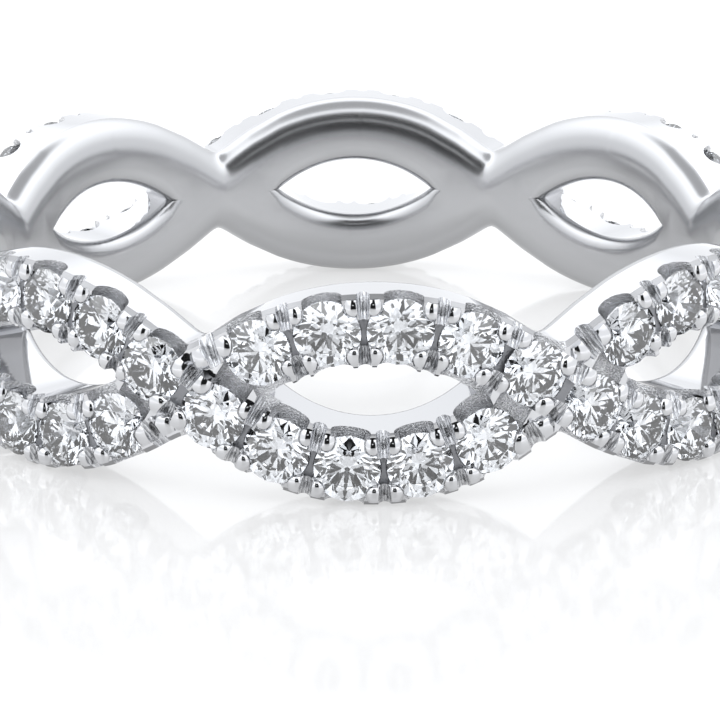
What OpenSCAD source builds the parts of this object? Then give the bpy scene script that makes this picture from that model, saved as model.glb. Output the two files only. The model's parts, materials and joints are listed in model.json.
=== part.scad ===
// Twisted diamond band: two strands of claw-set round diamonds cross eight
// times round the finger and leave an open eye between every two crossings.

/* [Finger hole] */
// Inside diameter of the band
finger_d = 17.3; // [17:0.1:20]

/* [Strands] */
// Wall from the finger to the plane of the stones' girdles
wall = 1.6; // [1.4:0.05:1.8]
// Height of the band over its widest part
band_h = 4.53; // [4.4:0.01:4.7]
// Height of the band in the notch of a crossing
notch_h = 1.84; // [1.7:0.02:2]
// Height of an eye at its middle
eye_h = 1.43; // [1.2:0.01:1.5]
// Length of an eye from tip to tip, at the outside of the band
eye_l = 4.5; // [4:0.05:4.6]
// Width of the strand that passes over at a crossing
strand_w = 1.55; // [1.5:0.05:1.6]
// How far the strand that passes over stands out at a crossing
weave = 0.17; // [0.05:0.01:0.18]

/* [Stones] */
// Diameter of a stone
stone_d = 1.4; // [1.3:0.05:1.4]
// Clear gap between neighbouring stones
stone_gap = 0.11; // [0.1:0.01:0.2]
// Clear gap between the two stones on top of a crossing
crossing_gap = 0.23; // [0.2:0.01:0.3]

/* [Claws] */
// Height of the claws above the girdles
claw_h = 0.26; // [0.25:0.01:0.3]
// Radius of a pair of claws before it is split
claw_r = 0.3; // [0.25:0.01:0.31]
// Radius of the arch that is cut into the strand beside each stone
arch_r = 0.42; // [0.35:0.01:0.42]

/* [Hidden] */
$fn = 48;

// Eyes round the band, and the crossings that each strand passes over
eyes = 8;
eye = 360 / eyes;
waves = eyes / 2;

finger_r = finger_d / 2;
girdle_r = finger_r + wall;
rim = 0.05;
outer_r = girdle_r + rim;
rest_z = band_h / 2;
// How far a cutting tool runs past what it cuts
spare = 1;
// Turn of the first crossing that strand a and strand b pass over
over_a = -90 - eye / 2;
over_b = -90 + eye / 2;

// Rise and fall of a strand's middle, and the third harmonic that fills out its shoulders
swing = 1.54;
fill = 0.05;
// Turn over which a strand rises to the top of its crossing
rise = 12;

// Stones from a crossing's middle to the end of their run
run = 5;
pitch = stone_d + stone_gap;
stone_r = stone_d / 2;
crown_h = 0.15 * stone_d;
table_r = 0.56 * stone_r;
half_girdle = 0.02 * stone_d;
pavilion_h = 0.43 * stone_d;

// Height and radius of a strand's middle at turn t from the crossing it passes over
function height(t) = -swing * sin(waves * t) - fill * sin(3 * waves * t);
function climb(t) = -waves * swing * cos(waves * t) - 3 * waves * fill * cos(3 * waves * t);
function radius(t) = girdle_r + (abs(t) < rise ? weave * (1 + cos(180 * t / rise)) / 2 : 0);
function slope(t) = atan(climb(t) / radius(t));

// Length of strand for one degree of turn, and the turn at distance d further on
function stride(t) = sqrt(pow(radius(t), 2) + pow(climb(t), 2)) * PI / 180;
function further(t, d) = t + d / stride(t + 0.5 * d / stride(t));
first = (stone_d + crossing_gap) / 2 / stride(0);
turns = [for (i = 0, t = first; i < run; i = i + 1, t = further(t, pitch)) t];
stone_turns = concat([for (t = turns) -t], turns);
between = [for (i = [1:run - 1]) (turns[i - 1] + turns[i]) / 2];
claw_turns = concat([0], between, [for (t = between) -t]);
end_turn = further(turns[run - 1], pitch / 2);

// Places a child on a strand: x along the run, y across it, z outwards
module on_strand(over, t) {
    translate([0, 0, rest_z + height(t)])
        rotate([0, 0, over + t])
            translate([radius(t), 0, 0])
                rotate([slope(t), 0, 0])
                    rotate([90, 0, 90])
                        children();
}

module each_crossing() {
    for (over = [over_a, over_b], k = [0:waves - 1])
        rotate([0, 0, 2 * k * eye]) on_strand(over, 0) children();
}

module each_place(over, places) {
    for (k = [0:waves - 1], t = places)
        on_strand(over + 2 * k * eye, t) children();
}

// Leaf-shaped body round each eye: one cone bounds it above and one below.
// Each cone narrows towards a point behind the finger hole.
apex_x = -10;
apex_z = -0.5;
function rise_to(z, reach) = atan((z - apex_z) / reach);

module leaf(half_h, half_turn, end_z) {
    end_x = outer_r * cos(half_turn) - apex_x;
    end_y = outer_r * sin(half_turn);
    top = rise_to(half_h, outer_r - apex_x);
    end = rise_to(end_z, norm([end_x, end_y]));
    lean = atan((cos(top) - cos(end) * end_x / norm([end_x, end_y])) / (sin(top) - sin(end)));
    translate([0, 0, rest_z]) intersection() {
        leaf_cone(lean, lean + top);
        mirror([0, 0, 1]) leaf_cone(lean, lean + top);
    }
}

module leaf_cone(lean, spread) {
    behind = 3;
    before = 2;
    near = finger_r - apex_x - behind;
    far = outer_r - apex_x + before;
    translate([apex_x, 0, apex_z]) rotate([0, 90 + lean, 0]) translate([0, 0, near])
        cylinder(h = far - near, r1 = near * tan(spread), r2 = far * tan(spread));
}

module each_eye() {
    for (k = [0:eyes - 1]) rotate([0, 0, k * eye]) children();
}

// Raised middle of the strand that passes over, as long as the stretch that stands out
module crest() {
    half_l = 2.3;
    depth = 3;
    bend = 1 / (2 * weave / pow(half_l, 2) + pow(cos(slope(0)), 2) / outer_r);
    intersection() {
        cube([2 * half_l, strand_w, depth], center = true);
        translate([0, 0, rim - bend]) rotate([90, 0, 0]) cylinder(r = bend, h = depth, center = true);
    }
}

// Claws on the upper side of a strand, its lower side or both, as flat-sided posts
module claws(rows = [-1, 1]) {
    root = 0.5;
    inset = 0.03;
    sides = 8;
    for (row = rows)
        translate([0, row * (strand_w / 2 - claw_r - inset), -root]) rotate([0, 0, 180 / sides])
            cylinder(r = claw_r, h = root + claw_h, $fn = sides);
}

// Stepped seat: the stone's pavilion lies in its well, and the claws lap over its edge
module seat() {
    clear = 0.02;
    ledge = 0.12;
    well_r = stone_r * (1 - (ledge - half_girdle) / pavilion_h) + clear;
    lap = 0.1;
    well = pavilion_h + 2 * half_girdle;
    translate([0, 0, -well]) cylinder(r = well_r, h = well + spare);
    translate([0, 0, -ledge]) cylinder(r = stone_r + clear, h = ledge + lap);
}

// Arch through the strand's two sides beside a stone, cut with a flat-sided tool
module arch() {
    sides = 8;
    overhang = 0.425;
    rotate([90, 0, 0]) rotate([0, 0, 180 / sides])
        cylinder(r = arch_r, h = strand_w + 2 * overhang, center = true, $fn = sides);
}

module band() color("gainsboro") difference() {
    union() {
        intersection() {
            cylinder(r = outer_r, h = band_h + spare);
            union() each_eye() leaf(band_h / 2, eye / 2, notch_h / 2);
        }
        each_crossing() crest();
        for (over = [over_a, over_b]) {
            each_place(over, claw_turns) claws();
            each_place(over, [-end_turn]) claws([1]);
            each_place(over, [end_turn]) claws([-1]);
        }
    }
    translate([0, 0, -spare]) cylinder(r = finger_r, h = band_h + 2 * spare);
    each_eye() leaf(eye_h / 2, asin(eye_l / 2 / outer_r), 0);
    for (over = [over_a, over_b]) each_place(over, stone_turns) {
        seat();
        arch();
    }
}

// Round stone with a table, eight main facets and a sixteen-sided girdle
module stone() {
    sides = 16;
    step = 360 / sides;
    table = [for (i = [0:2:sides - 1])
        [table_r * cos(i * step), table_r * sin(i * step), half_girdle + crown_h]];
    upper = [for (i = [0:sides - 1]) [stone_r * cos(i * step), stone_r * sin(i * step), half_girdle]];
    lower = [for (p = upper) [p[0], p[1], -half_girdle]];
    u = sides / 2;
    l = u + sides;
    culet = l + sides;
    polyhedron(concat(table, upper, lower, [[0, 0, -half_girdle - pavilion_h]]), concat(
        [[for (i = [u - 1:-1:0]) i]],
        [for (i = [0:u - 1]) [i, (i + 1) % u, u + 2 * i + 1]],
        [for (i = [0:u - 1]) [i, u + 2 * i + 1, u + 2 * i]],
        [for (i = [0:u - 1]) [(i + 1) % u, u + (2 * i + 2) % sides, u + 2 * i + 1]],
        [for (i = [0:sides - 1]) [u + i, u + (i + 1) % sides, l + (i + 1) % sides, l + i]],
        [for (i = [0:sides - 1]) [l + i, l + (i + 1) % sides, culet]]));
}

module stones_a() color("white") each_place(over_a, stone_turns) stone();
module stones_b() color("white") each_place(over_b, stone_turns) stone();

band();
stones_a();
stones_b();
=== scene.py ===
"""Diamond twist band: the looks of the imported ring, on a pale floor in soft studio light."""

import json
import math

import bpy
from mathutils import Matrix, Vector


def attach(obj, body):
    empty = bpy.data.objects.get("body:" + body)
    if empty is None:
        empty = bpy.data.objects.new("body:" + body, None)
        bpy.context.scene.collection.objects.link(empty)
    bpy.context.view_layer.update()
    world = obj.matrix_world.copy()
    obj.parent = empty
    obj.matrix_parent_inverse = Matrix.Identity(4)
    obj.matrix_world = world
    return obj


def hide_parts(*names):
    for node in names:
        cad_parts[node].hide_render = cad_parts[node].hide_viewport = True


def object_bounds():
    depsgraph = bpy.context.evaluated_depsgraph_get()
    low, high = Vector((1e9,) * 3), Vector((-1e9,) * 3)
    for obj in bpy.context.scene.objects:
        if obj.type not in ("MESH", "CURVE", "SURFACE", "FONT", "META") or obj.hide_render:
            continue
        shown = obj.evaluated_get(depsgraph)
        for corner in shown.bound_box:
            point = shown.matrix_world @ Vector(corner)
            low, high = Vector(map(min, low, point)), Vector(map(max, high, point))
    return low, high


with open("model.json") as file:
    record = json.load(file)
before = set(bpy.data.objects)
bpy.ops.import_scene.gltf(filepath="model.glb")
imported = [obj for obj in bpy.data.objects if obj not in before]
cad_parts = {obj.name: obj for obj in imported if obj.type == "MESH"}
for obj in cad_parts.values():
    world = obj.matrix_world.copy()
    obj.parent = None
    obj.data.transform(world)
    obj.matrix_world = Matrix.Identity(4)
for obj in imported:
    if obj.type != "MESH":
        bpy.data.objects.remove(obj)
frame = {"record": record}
cad_low, cad_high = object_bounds()

# Sizes of the ring, in millimetres and degrees. Each finished piece is brought to metres.
mm = 0.001
finger_r = frame["record"]["mounts"][0]["dims"]["r_mm"]
wall = 1.6
girdle_r = finger_r + wall
rim = 0.05
outer_r = girdle_r + rim
rest_z = (cad_high.z + cad_low.z) / 2 / mm

# Strands and eyes
eyes = 8
eye_turn = 360 / eyes
waves = eyes // 2
# Rise and fall of a strand's middle, and the third harmonic that fills out its shoulders
swing = 1.54
fill = 0.05
# How far the strand that passes over stands out, and the turn over which it rises
weave = 0.17
rise = 12
strand_w = 1.55
eye_half_l = 2.25
eye_half_h = 0.715

# Stones
stone_r = 0.7
stone_gap = 0.11
crossing_gap = 0.23
crown_h = 0.3 * stone_r
table_r = 0.56 * stone_r
half_girdle = 0.04 * stone_r
pavilion_h = 0.86 * stone_r
# Stones from a crossing to the end of their run
run = 5


def height(t):
    """Height of a strand's middle above the ring's middle plane, t degrees past its crossing."""
    return -swing * math.sin(math.radians(waves * t)) - fill * math.sin(math.radians(3 * waves * t))


def climb(t):
    """Rise of the strand's middle for one radian of turn."""
    swinging = waves * swing * math.cos(math.radians(waves * t))
    filling = 3 * waves * fill * math.cos(math.radians(3 * waves * t))
    return -swinging - filling


def lift(t):
    """How far the strand stands out, round the crossing that it passes over."""
    return weave * (1 + math.cos(math.pi * t / rise)) / 2 if abs(t) < rise else 0.0


def radius(t):
    return girdle_r + lift(t)


def slope(t):
    return math.atan(climb(t) / radius(t))


def further(t, distance):
    """The turn that lies a distance further along the strand."""

    def stride(at):
        return math.hypot(radius(at), climb(at)) * math.pi / 180

    return t + distance / stride(t + 0.5 * distance / stride(t))


def stone_run():
    """Turns of the stones on one side of a crossing."""
    turns = [further(0, (2 * stone_r + crossing_gap) / 2)]
    while len(turns) < run:
        turns.append(further(turns[-1], 2 * stone_r + stone_gap))
    return turns


turns = stone_run()
stone_turns = [-t for t in turns] + turns
between = [(a + b) / 2 for a, b in zip(turns, turns[1:])]
claw_turns = [0.0] + between + [-t for t in between]
end_turn = further(turns[-1], stone_r + stone_gap / 2)


def on_strand(over, t):
    """Matrix that seats a piece on a strand: x along the run, y across it, z outwards."""
    return (
        Matrix.Translation((0, 0, rest_z + height(t)))
        @ Matrix.Rotation(math.radians(over + t), 4, "Z")
        @ Matrix.Translation((radius(t), 0, 0))
        @ Matrix.Rotation(slope(t), 4, "X")
        @ Matrix.Rotation(math.radians(90), 4, "Z")
        @ Matrix.Rotation(math.radians(90), 4, "X")
    )


# Small helpers for working on one piece at a time

# Points closer than this are one point
one_point = 1e-4
# A point within a hair of a line lies on it
hair = 1e-3
# A face that looks squarely along an axis has more than this share of its normal there
square_on = 0.9


def alone(piece):
    """Selects one piece only and makes it active, in object mode."""
    if bpy.context.object and bpy.context.object.mode != "OBJECT":
        bpy.ops.object.mode_set(mode="OBJECT")
    bpy.ops.object.select_all(action="DESELECT")
    piece.select_set(True)
    bpy.context.view_layer.objects.active = piece


def name_new(name):
    piece = bpy.context.object
    piece.name = piece.data.name = name
    return piece


def new_piece(name, add, **settings):
    """Adds a primitive with nothing else selected, and puts its place in its mesh."""
    bpy.ops.object.select_all(action="DESELECT")
    add(**settings)
    bpy.ops.object.transform_apply(location=True, rotation=True, scale=True)
    return name_new(name)


def edit(piece, kind="VERT"):
    """Opens edit mode with nothing selected."""
    alone(piece)
    bpy.ops.object.mode_set(mode="EDIT")
    bpy.ops.mesh.select_mode(type=kind)
    bpy.ops.mesh.select_all(action="DESELECT")


def edit_all(piece):
    """Opens edit mode with everything selected."""
    edit(piece)
    bpy.ops.mesh.select_all(action="SELECT")


def done():
    bpy.ops.object.mode_set(mode="OBJECT")


def choose_points(piece, test):
    """Opens edit mode with the points selected that pass a test."""
    edit(piece)
    done()
    for point in piece.data.vertices:
        point.select = bool(test(point.co))
    bpy.ops.object.mode_set(mode="EDIT")


def choose_edges(piece, test):
    """Opens edit mode with the edges selected whose two ends pass a test."""
    edit(piece, "EDGE")
    done()
    points = piece.data.vertices
    for edge in piece.data.edges:
        a, b = edge.vertices
        edge.select = bool(test(points[a].co, points[b].co))
    bpy.ops.object.mode_set(mode="EDIT")


def choose_faces(piece, test):
    """Opens edit mode with the faces selected whose centre and normal pass a test."""
    edit(piece, "FACE")
    done()
    for face in piece.data.polygons:
        face.select = bool(test(face.center, face.normal))
    bpy.ops.object.mode_set(mode="EDIT")


def delete_faces(piece, test):
    choose_faces(piece, test)
    bpy.ops.mesh.delete(type="FACE")
    done()


def extrude(x=0, y=0, z=0):
    """Extrudes what is selected and moves its new end."""
    bpy.ops.mesh.extrude_region_move(TRANSFORM_OT_translate={"value": (x, y, z)})


def outwards(piece):
    """Merges doubles and turns the faces outwards."""
    edit_all(piece)
    bpy.ops.mesh.remove_doubles(threshold=one_point)
    bpy.ops.mesh.normals_make_consistent(inside=False)
    done()


def apply_all(piece):
    alone(piece)
    for modifier in list(piece.modifiers):
        bpy.ops.object.modifier_apply(modifier=modifier.name)


def cut(piece, tool, operation="DIFFERENCE"):
    """Cuts a piece with a tool, whose finish the cut takes."""
    modifier = piece.modifiers.new("cut", "BOOLEAN")
    modifier.operation, modifier.object, modifier.solver = operation, tool, "EXACT"
    modifier.use_self = True
    modifier.material_mode = "TRANSFER"
    apply_all(piece)


def copies(piece, places, name):
    """Copies a piece to each place, and joins the copies into one."""
    made = []
    for place in places:
        alone(piece)
        bpy.ops.object.duplicate()
        made.append(bpy.context.object)
        made[-1].data.transform(place)
    alone(made[0])
    for one in made:
        one.select_set(True)
    bpy.ops.object.join()
    return name_new(name)


def remove(*pieces):
    for piece in pieces:
        bpy.data.objects.remove(piece)


def finish_piece(piece, angle):
    """Shades a piece, brings it from millimetres to metres and seats it on the ring.

    Edges that turn by more than the angle stay sharp.
    """
    alone(piece)
    bpy.ops.object.shade_smooth_by_angle(angle=math.radians(angle))
    piece.data.transform(Matrix.Scale(mm, 4))
    # broad faces keep their own direction, and the narrow ones beside them turn the light
    weigh = piece.modifiers.new("weigh", "WEIGHTED_NORMAL")
    weigh.keep_sharp = True
    apply_all(piece)
    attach(piece, "root")


# Materials


def set_inputs(node, inputs):
    for socket, value in inputs.items():
        node.inputs[socket].default_value = value


def shader_of(material):
    return material.node_tree.nodes["Principled BSDF"]


def new_material(name, inputs):
    """New material with some of its shader's inputs set."""
    material = bpy.data.materials.new(name)
    material.use_nodes = True
    set_inputs(shader_of(material), inputs)
    return material


def grain(material, vector, scale, detail):
    """Noise that follows a vector."""
    tree = material.node_tree
    noise = tree.nodes.new("ShaderNodeTexNoise")
    set_inputs(noise, {"Scale": scale, "Detail": detail})
    tree.links.new(vector, noise.inputs["Vector"])
    return noise.outputs["Fac"]


def ring_grain(material, scale, detail):
    """Noise that stays where it is on the ring, with its scale in grains to the metre."""
    place = material.node_tree.nodes.new("ShaderNodeTexCoord")
    return grain(material, place.outputs["Object"], scale, detail)


def vary_gloss(material, level, least, most):
    """Roughness that wanders with a noise, as hand polishing leaves it."""
    tree = material.node_tree
    gloss = tree.nodes.new("ShaderNodeMapRange")
    set_inputs(gloss, {"To Min": least, "To Max": most})
    tree.links.new(level, gloss.inputs["Value"])
    tree.links.new(gloss.outputs["Result"], shader_of(material).inputs["Roughness"])


def vary_tone(material, level, dark, light):
    """Colour between two tones. Each is a level of the noise and a colour."""
    tree = material.node_tree
    tone = tree.nodes.new("ShaderNodeValToRGB")
    for stop, (position, colour) in zip(tone.color_ramp.elements, (dark, light)):
        stop.position = position
        stop.color = (*colour, 1)
    tree.links.new(level, tone.inputs["Fac"])
    tree.links.new(tone.outputs["Color"], shader_of(material).inputs["Base Color"])


def roughen(material, level, strength, depth):
    """Fine relief that follows a noise, with its depth in metres."""
    tree = material.node_tree
    bump = tree.nodes.new("ShaderNodeBump")
    set_inputs(bump, {"Strength": strength, "Distance": depth})
    tree.links.new(level, bump.inputs["Height"])
    tree.links.new(bump.outputs["Normal"], shader_of(material).inputs["Normal"])


def white_gold():
    """Bright polished white gold, with the faint waviness that hand polishing leaves."""
    gold = new_material("white_gold", {"Base Color": (0.64, 0.645, 0.66, 1), "Metallic": 1})
    vary_gloss(gold, ring_grain(gold, scale=900, detail=3), least=0.04, most=0.1)
    return gold


def satin_shaded_gold(name, shade):
    """Metal of the finger side and of the outer rim: rougher than the side faces, with a darker base
    colour that is painted shade.
    """
    colour = (shade, 1.008 * shade, 1.03 * shade, 1)
    gold = new_material(name, {"Base Color": colour, "Metallic": 1})
    vary_gloss(gold, ring_grain(gold, scale=700, detail=3), least=0.2, most=0.27)
    return gold


def cast_gold():
    """Unpolished cast metal inside the arches and seats, sandy with bright specks."""
    gold = new_material("cast_gold", {"Metallic": 1, "Roughness": 0.26})
    sand = ring_grain(gold, scale=28000, detail=4)
    vary_tone(gold, sand, dark=(0.36, (0.6, 0.605, 0.62)), light=(0.6, (0.92, 0.925, 0.94)))
    roughen(gold, sand, strength=1, depth=0.00003)
    return gold


def necks_shade_gold():
    """Dull metal of the narrow necks between stones, with a rough relief; its dark grey base colour is
    painted shade between the stones.
    """
    colour = (0.27, 0.275, 0.29, 1)
    gold = new_material("necks_shade_gold", {"Base Color": colour, "Metallic": 1, "Roughness": 0.38})
    roughen(gold, ring_grain(gold, scale=16000, detail=4), strength=0.6, depth=0.00003)
    return gold


def cut_gold():
    """Metal cut bright by a graver, with fine light and dark streaks along the cut."""
    gold = new_material("cut_gold", {"Metallic": 1, "Roughness": 0.16})
    tree = gold.node_tree
    place = tree.nodes.new("ShaderNodeTexCoord")
    along_cut = tree.nodes.new("ShaderNodeMapping")
    set_inputs(along_cut, {"Scale": (18, 3, 1)})
    tree.links.new(place.outputs["UV"], along_cut.inputs["Vector"])
    streaks = grain(gold, along_cut.outputs["Vector"], scale=1.5, detail=4)
    vary_tone(gold, streaks, dark=(0.38, (0.42, 0.425, 0.44)), light=(0.62, (0.88, 0.89, 0.91)))
    roughen(gold, streaks, strength=1, depth=0.00006)
    return gold


def diamond():
    """Clear stone that bends light as diamond does."""
    colour = (0.935, 0.96, 1, 1)
    inputs = {"Base Color": colour, "Roughness": 0, "IOR": 2.417, "Transmission Weight": 1}
    return new_material("diamond", inputs)


polished = white_gold()
# the finger wall is rougher, and its darker base colour is painted shade where the ring shades its own
# inside
finger_satin_shade = satin_shaded_gold("satin_shaded_gold", 0.5)
# the rim's broken edge has a still darker base colour: a painted shaded line along the rim
rim_satin_shade = satin_shaded_gold("rim_shade_gold", 0.34)
cast = cast_gold()
# the necks' dark base colour is painted shade in the recesses between stones
neck_shade = necks_shade_gold()
bright_cut = cut_gold()
clear_stone = diamond()

# The band's body

# One crossing with its four arms is modelled flat, with x along the ring, z up and its outside
# towards -y. It is then wrapped round the finger and repeated.
arm_end = (turns[2] + turns[3]) / 2
eye_tip = eye_turn / 2 - math.degrees(eye_half_l / girdle_r)
# Softness of the notch's bottom, the turn by which it has died away, and how much of it the
# bottom sinks again
notch_round = 0.7
notch_reach = 20
notch_sink = 0.3
# Rounding on the finger side: height along the outline and round the eyes, and how much
# shallower than high it is
outline_round = 0.85
eye_round = 0.4
flatter = 1.35
# Broken edges on the outside, along the outline and round the eyes
rim_chamfer = 0.1
eye_chamfer = 0.04


def along(turn):
    """Distance along the flat ring, at the stones' girdles."""
    return math.radians(turn) * girdle_r


def outline(turn):
    """Half the band's height, with a soft bottom to the notch."""
    soft = notch_round * max(0, 1 - abs(turn) / notch_reach)
    t = math.hypot(turn, soft) - notch_sink * soft
    return height(-t) + strand_w / 2 / math.cos(slope(t))


def eye_edge(turn):
    """Half the height of the eye, whose outline is two arcs."""
    arc_r = (eye_half_l**2 + eye_half_h**2) / (2 * eye_half_h)
    x = along(eye_turn / 2 - abs(turn))
    if abs(turn) <= eye_tip:
        return 0.0
    return max(0.0, math.sqrt(arc_r**2 - x**2) - arc_r + eye_half_h)


def stations(start, stop, count):
    """Evenly spaced turns from start on. Stop itself is left out."""
    return [start + (stop - start) * i / count for i in range(count)]


def upright_edge(name, x, y, low, high):
    """New piece that is one upright edge, open in edit mode and selected."""
    tall = high - low
    middle = (x, y, (low + high) / 2)
    upright = (math.pi / 2, 0, 0)
    piece = new_piece(name, bpy.ops.mesh.primitive_plane_add, size=tall, location=middle, rotation=upright)
    # the plane's left edge goes, and its right edge moves to x
    choose_points(piece, lambda point: point.x < x)
    bpy.ops.mesh.delete(type="VERT")
    bpy.ops.mesh.select_all(action="SELECT")
    bpy.ops.transform.translate(value=(-tall / 2, 0, 0))
    return piece


def thicken(piece, depth):
    """Closes a flat piece by extruding it inwards."""
    edit_all(piece)
    extrude(y=depth)
    done()
    outwards(piece)


def flat_arm():
    """Upper half of the crossing as a closed bar: left eye, crossing, right eye."""
    # a long step beside each eye's tip leaves room for the rounding of its edge, and a very
    # short one at each end of the arm makes the ends of two neighbours match
    tip_step, end_step = 4.4, 0.02
    left_steps, middle_steps, right_steps = 18, 16, 15
    left, inner, right = -arm_end, eye_tip - tip_step, eye_turn - arm_end
    places = [left] + stations(left + end_step, -eye_tip, left_steps)
    places += [-eye_tip] + stations(-inner, inner, middle_steps)
    places += [inner] + stations(eye_tip, right - end_step, right_steps) + [right - end_step, right]
    rows = [(along(t), eye_edge(t), outline(t)) for t in places]
    arm = upright_edge("arm", rows[0][0], -rim, rows[0][1], rows[0][2])
    for (x0, low0, high0), (x1, low1, high1) in zip(rows, rows[1:]):
        extrude(x=x1 - x0, z=low1 - low0)
        grow = (high1 - low1) / (high0 - low0)
        bpy.ops.transform.resize(value=(1, 1, grow), center_override=(x1, -rim, low1))
    done()
    thicken(arm, (wall + rim) * flatter)
    return arm


def round_edges(arm, line, offset, segments, inside=True):
    """Rounds the edges of an arm that follow a line, on its finger side or its outside."""

    def on_line(point):
        return abs(point.z - line(math.degrees(point.x / girdle_r))) < hair

    def follows(a, b):
        on_side = min(a.y, b.y) > wall if inside else max(a.y, b.y) < 0
        # the seam between the two halves is no edge
        on_seam = max(a.z, b.z) <= hair
        return on_side and on_line(a) and on_line(b) and abs(a.x - b.x) > hair and not on_seam

    choose_edges(arm, follows)
    bpy.ops.mesh.bevel(offset=offset, segments=segments, affect="EDGES", clamp_overlap=False)
    done()


def support_line(arm, depth, facing):
    """Draws a line at one depth along the faces that look up, or along those that look down."""
    least = 0.1
    choose_faces(arm, lambda centre, normal: normal.z * facing > least)
    bpy.ops.mesh.bisect(plane_co=(0, depth, 0), plane_no=(0, 1, 0))
    done()


def flat_crossing():
    """Whole crossing as a closed plate: an arm and the same arm turned half round."""
    # the arm is modelled too thick and rounded, and then brought to its thickness
    arm = flat_arm()
    round_edges(arm, outline, outline_round, segments=6)
    round_edges(arm, eye_edge, eye_round, segments=5)
    face = Matrix.Translation((0, -rim, 0))
    arm.data.transform(face @ Matrix.Diagonal((1, 1 / flatter, 1, 1)) @ face.inverted())
    round_edges(arm, outline, rim_chamfer, segments=1, inside=False)
    round_edges(arm, eye_edge, eye_chamfer, segments=1, inside=False)
    # lines close beside the roundings keep the flat faces flat in the light
    beside = 0.03
    support_line(arm, wall - outline_round / flatter - beside, facing=1)
    support_line(arm, wall - eye_round / flatter - beside, facing=-1)
    for facing in (1, -1):
        support_line(arm, rim_chamfer - rim + beside, facing)
    delete_faces(arm, lambda centre, normal: abs(centre.z) < one_point and normal.z < -square_on)
    bpy.ops.object.duplicate()
    bpy.context.object.data.transform(Matrix.Rotation(math.pi, 4, "Y"))
    arm.select_set(True)
    bpy.ops.object.join()
    plate = name_new("plate")
    outwards(plate)
    return plate


def flat_crest():
    """The strand that passes over, where it stands out, as a closed bar."""
    # it stays clear of the plate's broken edges, and its ends dip just below the plate's face
    clear, sunk, thickness = 0.02, 0.005, 0.5
    end, steps = 13, 26
    half_w = strand_w / 2 - rim_chamfer - clear
    places = stations(-end, end, steps) + [end]
    rows = [(along(t), -rim - lift(t) + sunk, height(t), slope(t)) for t in places]
    x, y, z, lean = rows[0]
    crest = upright_edge("crest", x, y, z - half_w, z + half_w)
    bpy.ops.mesh.subdivide(number_cuts=3)
    # with no window, a turn about an axis goes the other way round
    bpy.ops.transform.rotate(value=lean, orient_axis="Y", center_override=(x, y, z))
    for (x0, y0, z0, lean0), (x1, y1, z1, lean1) in zip(rows, rows[1:]):
        extrude(x1 - x0, y1 - y0, z1 - z0)
        bpy.ops.transform.rotate(value=lean1 - lean0, orient_axis="Y", center_override=(x1, y1, z1))
    done()
    thicken(crest, thickness)
    return crest


# The end of a wrapped arm has more than this share of its normal along x
end_on = 0.8


def wrap_round(piece):
    """Bends a flat piece that is centred on x = 0 round the finger, at the front of the ring."""
    xs = [p.co.x for p in piece.data.vertices]
    bend = piece.modifiers.new("bend", "SIMPLE_DEFORM")
    bend.deform_method, bend.deform_axis = "BEND", "Z"
    bend.angle = (max(xs) - min(xs)) / girdle_r
    apply_all(piece)
    piece.data.transform(Matrix.Translation((0, -girdle_r, rest_z)))
    # bent faces are split into flat ones, so that they are cut cleanly. The ends are flat already.
    choose_faces(piece, lambda centre, normal: abs(normal.x) < end_on)
    bpy.ops.mesh.quads_convert_to_tris(quad_method="FIXED")
    done()


def depth_of(point):
    """How deep a point lies below the ring's outside."""
    return outer_r - math.hypot(point.x, point.y)


def outward(centre, normal):
    """How much of a normal points straight away from the finger."""
    return normal.dot(Vector((centre.x, centre.y, 0)).normalized())


def finger_side(centre, normal):
    """True on the finger wall and on the rounding beside it."""
    least = 0.05
    return depth_of(centre) > wall + rim - outline_round / flatter and outward(centre, normal) < -least


def rim_side(centre, normal):
    """True on the broken edge between a side face and the outside."""
    least, most, least_upright = 0.5, 0.9, 0.4
    slanted = least < outward(centre, normal) < most and abs(normal.z) > least_upright
    return slanted and depth_of(centre) < rim_chamfer


def crossing():
    """One crossing with its crest, wrapped round the finger and polished, still without seats."""
    plate, crest = flat_crossing(), flat_crest()
    for piece in (plate, crest):
        piece.data.materials.append(polished)
        wrap_round(piece)
    cut(plate, crest, "UNION")
    remove(crest)
    # the finger wall and the rim's broken edge take metal whose darker base colour is painted shade
    for side, finish in ((finger_side, finger_satin_shade), (rim_side, rim_satin_shade)):
        plate.data.materials.append(finish)
        choose_faces(plate, side)
        plate.active_material_index = len(plate.data.materials) - 1
        bpy.ops.object.material_slot_assign()
        done()
    return plate


# Places of the stones and claws

front = -90
overs = [front + eye_turn * (k + 0.5) for k in range(eyes)]
half_turn = Matrix.Rotation(math.pi, 4, "Z")
# How much larger the claws are along the run and across it, on a crossing and at a run's end
crossing_size = (1.22, 1.1)
end_size = (1.3, 1.2)
end_nudge = (-0.1, -0.05, 0)


def grown(longer, wider):
    """Enlarges a pair of claws from the edge of the strand."""
    edge = Matrix.Translation((0, strand_w / 2, 0))
    return edge @ Matrix.Diagonal((longer, wider, 1, 1)) @ edge.inverted()


def claws_of(over):
    """Turn and place of each pair of claws on the run that passes over one crossing."""
    places = []
    for t in claw_turns:
        size = grown(*crossing_size) if t == 0 else Matrix()
        for side in (Matrix(), half_turn):
            places.append((t, on_strand(over, t) @ side @ size))
    # one larger pair at each end of the run, on the outer side and towards the next crossing
    nudge = Matrix.Translation(end_nudge) @ grown(*end_size)
    for t, side in ((-end_turn, Matrix()), (end_turn, half_turn)):
        places.append((t, on_strand(over, t) @ side @ nudge))
    return places


# A cell is one crossing with its arms: it holds three stones each way on the strand that passes
# over and two each way on the one that passes under. What stands just past its ends still cuts
# into it.
cell_spare = 2
cell_overs = (front - eye_turn, front, front + eye_turn)


def in_cell(over, t):
    return abs(over + t - front) < eye_turn / 2 + cell_spare


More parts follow.
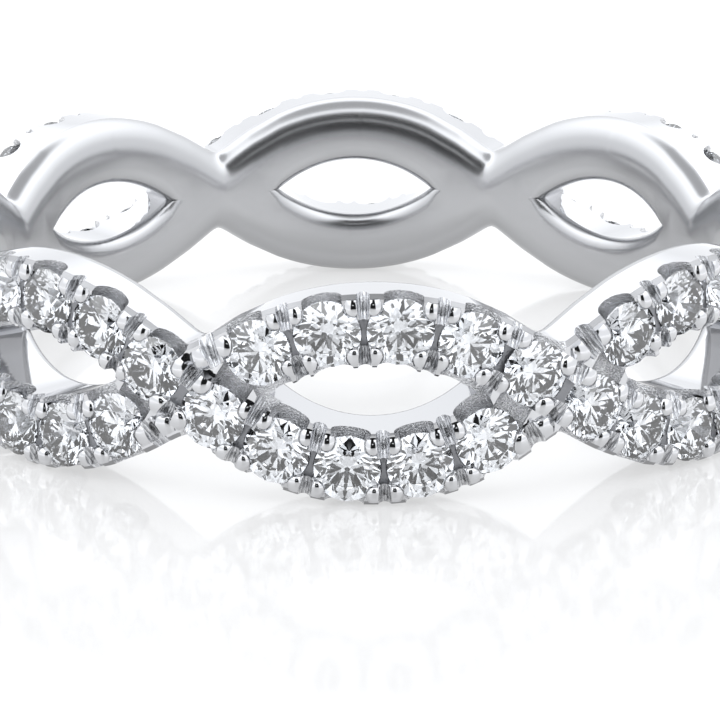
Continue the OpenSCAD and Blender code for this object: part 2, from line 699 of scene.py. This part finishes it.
cell_stones = [on_strand(over, t) for over in cell_overs for t in stone_turns if in_cell(over, t)]
cell_necks = [on_strand(over, t) for over in cell_overs for t in claw_turns if in_cell(over, t)]
cell_claws = [place for over in cell_overs for t, place in claws_of(over) if in_cell(over, t)]

# Tools that cut the seats, arches, necks and grooves, each at the place of a stone or claw


def seat_tool():
    """Cone for the stone's pavilion, with a round well for its girdle above."""
    clear, foot, well = 0.02, 0.005, 0.7
    seat_r = stone_r + clear
    depth = (seat_r - foot) * pavilion_h / stone_r
    shape = {"vertices": 24, "radius1": foot, "radius2": seat_r, "depth": depth}
    middle = (0, 0, -half_girdle - depth / 2)
    seat = new_piece("seat", bpy.ops.mesh.primitive_cone_add, location=middle, **shape)
    choose_faces(seat, lambda centre, normal: normal.z > square_on)
    extrude(z=well)
    done()
    return seat


def arch_tool():
    """Round bar across the strand, which scoops an arch from each side face."""
    shape = {"vertices": 20, "radius": 0.42, "depth": 2.4}
    across = (math.pi / 2, 0, 0)
    return new_piece("arch", bpy.ops.mesh.primitive_cylinder_add, rotation=across, **shape)


def neck_tool():
    """Block that cuts a shallow recess between two stones, down to their girdles."""
    long, wide, tall = 0.7, 0.9, 1
    neck = new_piece("neck", bpy.ops.mesh.primitive_cube_add, size=1)
    neck.data.transform(Matrix.Translation((0, 0, tall / 2)) @ Matrix.Diagonal((long, wide, tall, 1)))
    return neck


def groove_tool():
    """Round graver's cut that deepens and widens towards the strand's side."""
    sides, stretch, slant = 16, 2.4, -116
    middle = (0, 0.67, 0.27)
    shape = {"vertices": sides, "radius1": 0.13, "radius2": 0.18, "depth": 0.8}
    groove = new_piece("groove", bpy.ops.mesh.primitive_cone_add, **shape)
    # the cut is open above, and a flat lies at its bottom
    flat_down = Matrix.Rotation(math.radians(180 / sides), 4, "Z")
    tall = Matrix.Diagonal((1, stretch, 1, 1)) @ flat_down
    lean = Matrix.Rotation(math.radians(slant), 4, "X")
    groove.data.transform(Matrix.Translation(middle) @ lean @ tall)
    groove.data.materials.append(bright_cut)
    return groove


def set_for_stones(plate, groove):
    """Cuts the necks, seats, arches and grooves of one cell, each with its own finish."""
    neck, seat, arch = neck_tool(), seat_tool(), arch_tool()
    for tool, places, finish in (
        # the necks take a dark base colour that is painted shade
        (neck, cell_necks, neck_shade),
        (seat, cell_stones, cast),
        (arch, cell_stones, cast),
        (groove, cell_claws, bright_cut),
    ):
        tools = copies(tool, places, "tools")
        tools.data.materials.clear()
        tools.data.materials.append(finish)
        cut(plate, tools)
        remove(tools)
    remove(neck, seat, arch)


def turn_of(point):
    """Turn of a point round the finger, from the front of the ring."""
    return math.degrees(math.atan2(point.x, -point.y))


def at_end(centre, normal):
    """True on the flat end of an arm, which lies in a plane through the finger's axis."""
    near = 0.01
    turn = abs(turn_of(centre))
    at_turn = min(abs(turn - arm_end), abs(turn - eye_turn + arm_end)) < near
    return at_turn and abs(normal.x) > end_on


def beside_join(point):
    """True within the short steps on both sides of a join between two crossings."""
    near = 0.03
    past_middle = (turn_of(point) + eye_turn / 2) % eye_turn - eye_turn / 2
    return abs(abs(past_middle) - arm_end + eye_turn / 2) < near


def band_body(plate):
    """Opens the ends of the arms and joins eight crossings into one closed body."""
    seam, strip = 0.006, 0.005
    delete_faces(plate, at_end)
    ring_turns = [Matrix.Rotation(math.radians(eye_turn * (k + 0.5)), 4, "Z") for k in range(eyes)]
    body = copies(plate, ring_turns, "band_body")
    remove(plate)
    outwards(body)
    edit(body)
    bpy.ops.mesh.select_non_manifold(extend=False, use_wire=False, use_multi_face=False, use_verts=False)
    bpy.ops.mesh.remove_doubles(threshold=seam)
    done()
    # the narrow strips beside the joins are closed up, so that no line shows
    choose_points(body, beside_join)
    bpy.ops.mesh.remove_doubles(threshold=strip)
    done()
    return body


# Claws: two beads on one root, split by a groove


def bead(side):
    """Bead on its post, on one side of the groove: a blunt nose and a back that falls to the rim."""
    # half its width, the reach of its nose and its height
    half_w, nose, tall = 0.205, 0.17, 0.17
    # behind its middle the bead would fall and narrow to nothing over these lengths
    fall, narrow = 0.27, 0.3
    # it ends short of the strand's side, and its post stands deep in the metal
    middle_y, middle_z, half_gap = 0.46, 0.03, 0.01
    end_y, post_h, parts = strand_w / 2 - 0.09, 0.53, 3
    ball = {"segments": 12, "ring_count": 6, "radius": 1}
    made = new_piece("bead", bpy.ops.mesh.primitive_uv_sphere_add, **ball)
    delete_faces(made, lambda centre, normal: centre.z < 0 or centre.y > 0)
    made.data.transform(Matrix.Diagonal((half_w, nose, tall, 1)))
    choose_edges(made, lambda a, b: max(abs(a.y), abs(b.y)) < one_point)
    steps = [i * (end_y - middle_y) / parts for i in range(parts + 1)]
    sizes = [(math.sqrt(1 - (y / narrow) ** 2), math.sqrt(1 - (y / fall) ** 2)) for y in steps]
    for y0, y1, (w0, h0), (w1, h1) in zip(steps, steps[1:], sizes, sizes[1:]):
        extrude(y=y1 - y0)
        bpy.ops.transform.resize(value=(w1 / w0, 1, h1 / h0), center_override=(0, y1, 0))
    # the end is closed at the rim, and the post goes down from the edge
    extrude()
    bpy.ops.transform.resize(value=(1, 1, 0), center_override=(0, steps[-1], 0))
    done()
    outwards(made)
    edit_all(made)
    bpy.ops.mesh.region_to_loop()
    extrude(z=-post_h)
    bpy.ops.mesh.edge_face_add()
    done()
    outwards(made)
    made.data.transform(Matrix.Translation(((half_w + half_gap) * side, middle_y, middle_z)))
    return made


def claw_root():
    """Small box that joins two beads in the metal, with its edges broken."""
    low, high = Vector((-0.14, 0.28, -0.5)), Vector((0.14, 0.6, 0.18))
    broken = 0.02
    made = new_piece("root", bpy.ops.mesh.primitive_cube_add, size=1)
    made.data.transform(Matrix.Translation((low + high) / 2) @ Matrix.Diagonal((*(high - low), 1)))
    edit_all(made)
    bpy.ops.mesh.bevel(offset=broken, segments=1, affect="EDGES")
    done()
    return made


def bead_pair(groove):
    """Pair of bead claws on the upper side of a strand, split by a graver's cut."""
    pair = bead(-1)
    others = bead(1), claw_root()
    pair.data.materials.append(polished)
    for piece in others:
        piece.data.materials.append(polished)
        cut(pair, piece, "UNION")
    cut(pair, groove)
    remove(*others)
    return pair


def band_claws(groove):
    """Every pair of bead claws on the ring."""
    pair = bead_pair(groove)
    claws = copies(pair, [place for over in overs for t, place in claws_of(over)], "band_claws")
    remove(pair)
    return claws


# Stones: a round brilliant is shaved from a cylinder, facet by facet


def ring_point(r, azimuth, z):
    return Vector((r * math.cos(math.radians(azimuth)), r * math.sin(math.radians(azimuth)), z))


def shave(a, b, c):
    """Cuts off what lies outside the plane through three points."""
    normal = (b - a).cross(c - a).normalized()
    if normal.dot(a) < 0:
        normal = -normal
    bpy.ops.mesh.select_all(action="SELECT")
    bpy.ops.mesh.bisect(plane_co=a, plane_no=normal, use_fill=True, clear_outer=True)


def brilliant():
    """Full cut: mains above and below, then stars and halves, round a table and a girdle."""
    facet, girdle_sides = 45, 32
    top = half_girdle + crown_h
    culet = Vector((0, 0, -half_girdle - pavilion_h))
    # the points where a star facet and two halves meet, above and below
    star_r, star_z = 0.531, half_girdle + 0.143
    belly_r, belly_z = 0.161, -half_girdle - 0.474
    shape = {"vertices": girdle_sides, "radius": stone_r, "depth": top - culet.z}
    middle = (0, 0, (top + culet.z) / 2)
    stone = new_piece("stone", bpy.ops.mesh.primitive_cylinder_add, location=middle, **shape)
    edit(stone)
    for azimuth in range(0, 360, facet):
        upper = ring_point(stone_r, azimuth, half_girdle)
        lower = ring_point(stone_r, azimuth, -half_girdle)
        sideways = Vector((-math.sin(math.radians(azimuth)), math.cos(math.radians(azimuth)), 0))
        shave(ring_point(table_r, azimuth, top), upper, upper + sideways)
        shave(culet, lower, lower + sideways)
    for azimuth in range(0, 360, facet):
        half = azimuth + facet / 2
        star = ring_point(star_r, half, star_z)
        belly = ring_point(belly_r, half, belly_z)
        shave(star, ring_point(table_r, azimuth, top), ring_point(table_r, azimuth + facet, top))
        for main in (azimuth, azimuth + facet):
            shave(star, ring_point(stone_r, half, half_girdle), ring_point(stone_r, main, half_girdle))
            shave(belly, ring_point(stone_r, half, -half_girdle), ring_point(stone_r, main, -half_girdle))
    done()
    outwards(stone)
    stone.data.materials.append(clear_stone)
    return stone


def stone_field(stone, first_over, name):
    """The stones of one strand, all round the ring."""
    crossings = [first_over + 2 * eye_turn * k for k in range(waves)]
    return copies(stone, [on_strand(over, t) for over in crossings for t in stone_turns], name)


# The ring is put together

plate, groove = crossing(), groove_tool()
set_for_stones(plate, groove)
body = band_body(plate)
claws = band_claws(groove)
remove(groove)

stone = brilliant()
for name, first_over in (("stones_a", overs[-1]), ("stones_b", overs[0])):
    field = stone_field(stone, first_over, "cut_" + name)
    finish_piece(field, angle=1)
    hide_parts(name)
remove(stone)

finish_piece(body, angle=35)
finish_piece(claws, angle=50)
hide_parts("band")

# Floor, light and camera


def pale_floor():
    """Glossy pale table that is lit from below."""
    table = {"Base Color": (0.35, 0.35, 0.35, 1), "Roughness": 0.08}
    glow = {"Emission Color": (1, 1, 1, 1), "Emission Strength": 0.49}
    metres = 1.2
    floor = new_piece("floor", bpy.ops.mesh.primitive_plane_add, size=metres)
    floor.data.materials.append(new_material("pale_floor", {**table, **glow}))


def studio():
    """White all round, with a dark panel round the camera that the metal and stones reflect.

    Directions are in radians: azimuth from the front, elevation from the level.
    """
    world = bpy.data.worlds.new("studio")
    bpy.context.scene.world = world
    world.use_nodes = True
    nodes, links = world.node_tree.nodes, world.node_tree.links
    place = nodes.new("ShaderNodeTexCoord")
    split = nodes.new("ShaderNodeSeparateXYZ")
    links.new(place.outputs["Generated"], split.inputs[0])

    def math_node(operation, a, b=None):
        node = nodes.new("ShaderNodeMath")
        node.operation = operation
        for socket, value in zip(node.inputs, (a, b)):
            if isinstance(value, (int, float)):
                socket.default_value = value
            elif value is not None:
                links.new(value, socket)
        return node.outputs[0]

    def map_range(value, inputs):
        node = nodes.new("ShaderNodeMapRange")
        set_inputs(node, inputs)
        links.new(value, node.inputs["Value"])
        return node

    def within(value, low, high, soft):
        """1 between two limits, 0 outside, with soft edges."""
        middle, half = (low + high) / 2, (high - low) / 2
        away = math_node("ABSOLUTE", math_node("SUBTRACT", value, middle))
        return map_range(away, {"From Min": half + soft, "From Max": half - soft}).outputs["Result"]

    back = math_node("MULTIPLY", split.outputs["Y"], -1)
    azimuth = math_node("ARCTAN2", split.outputs["X"], back)
    elevation = math_node("ARCSINE", split.outputs["Z"])
    # the dark panel, with a narrow light bar in it
    panel_wide = within(azimuth, low=-0.4, high=0.36, soft=0.03)
    panel_tall = within(elevation, low=-0.1, high=0.95, soft=0.03)
    bar_tall = within(elevation, low=0.45, high=0.51, soft=0.01)
    bar_wide = within(azimuth, low=-0.15, high=0.11, soft=0.01)
    bar = math_node("MULTIPLY", bar_tall, bar_wide)
    panel = math_node("MULTIPLY", panel_wide, panel_tall)
    dark = math_node("MULTIPLY", panel, math_node("SUBTRACT", 1, bar))
    # the light grows upwards, and a grey cover hangs straight above
    climbing = {"From Min": 0.35, "From Max": 0.85, "To Min": 1.25, "To Max": 2.3}
    overhead = map_range(elevation, climbing)
    cover = math_node("MULTIPLY", within(elevation, low=1.15, high=2, soft=0.08), -0.7)
    light = math_node("MULTIPLY", overhead.outputs["Result"], math_node("ADD", cover, 1))
    shade = map_range(dark, {"To Max": 0.02})
    links.new(light, shade.inputs["To Min"])
    links.new(shade.outputs["Result"], nodes["Background"].inputs["Strength"])
    set_inputs(nodes["Background"], {"Color": (0.96, 0.975, 1, 1)})


def camera():
    """Stands in front of the ring and a little to its left, and looks down at it."""
    distance, elevation, azimuth = 84.2, math.radians(14.69), math.radians(-91.31)
    focal, sensor, picture_px = 180.65, 36, 720
    pixel = distance * sensor / focal / picture_px
    level = math.cos(elevation)
    towards = Vector((math.cos(azimuth) * level, math.sin(azimuth) * level, math.sin(elevation)))
    right = Vector((-math.sin(azimuth), math.cos(azimuth), 0))
    up = towards.cross(right)
    centre = Vector((0, 0, rest_z))
    place = centre + towards * distance
    # the photograph's middle lies below the ring's middle and a little to its left
    below_px, left_px = 85.7, 2.5
    aim = centre - up * below_px * pixel - right * left_px * pixel
    data = bpy.data.cameras.new("camera")
    data.lens, data.sensor_width = focal, sensor
    data.clip_start, data.clip_end = 0.001, 10
    data.dof.use_dof = False
    lens = bpy.data.objects.new("camera", data)
    lens.location = place * mm
    lens.rotation_euler = (place - aim).to_track_quat("Z", "Y").to_euler()
    bpy.context.scene.collection.objects.link(lens)
    bpy.context.scene.camera = lens


pale_floor()
studio()
camera()
bpy.context.scene.view_settings.view_transform = "Standard"
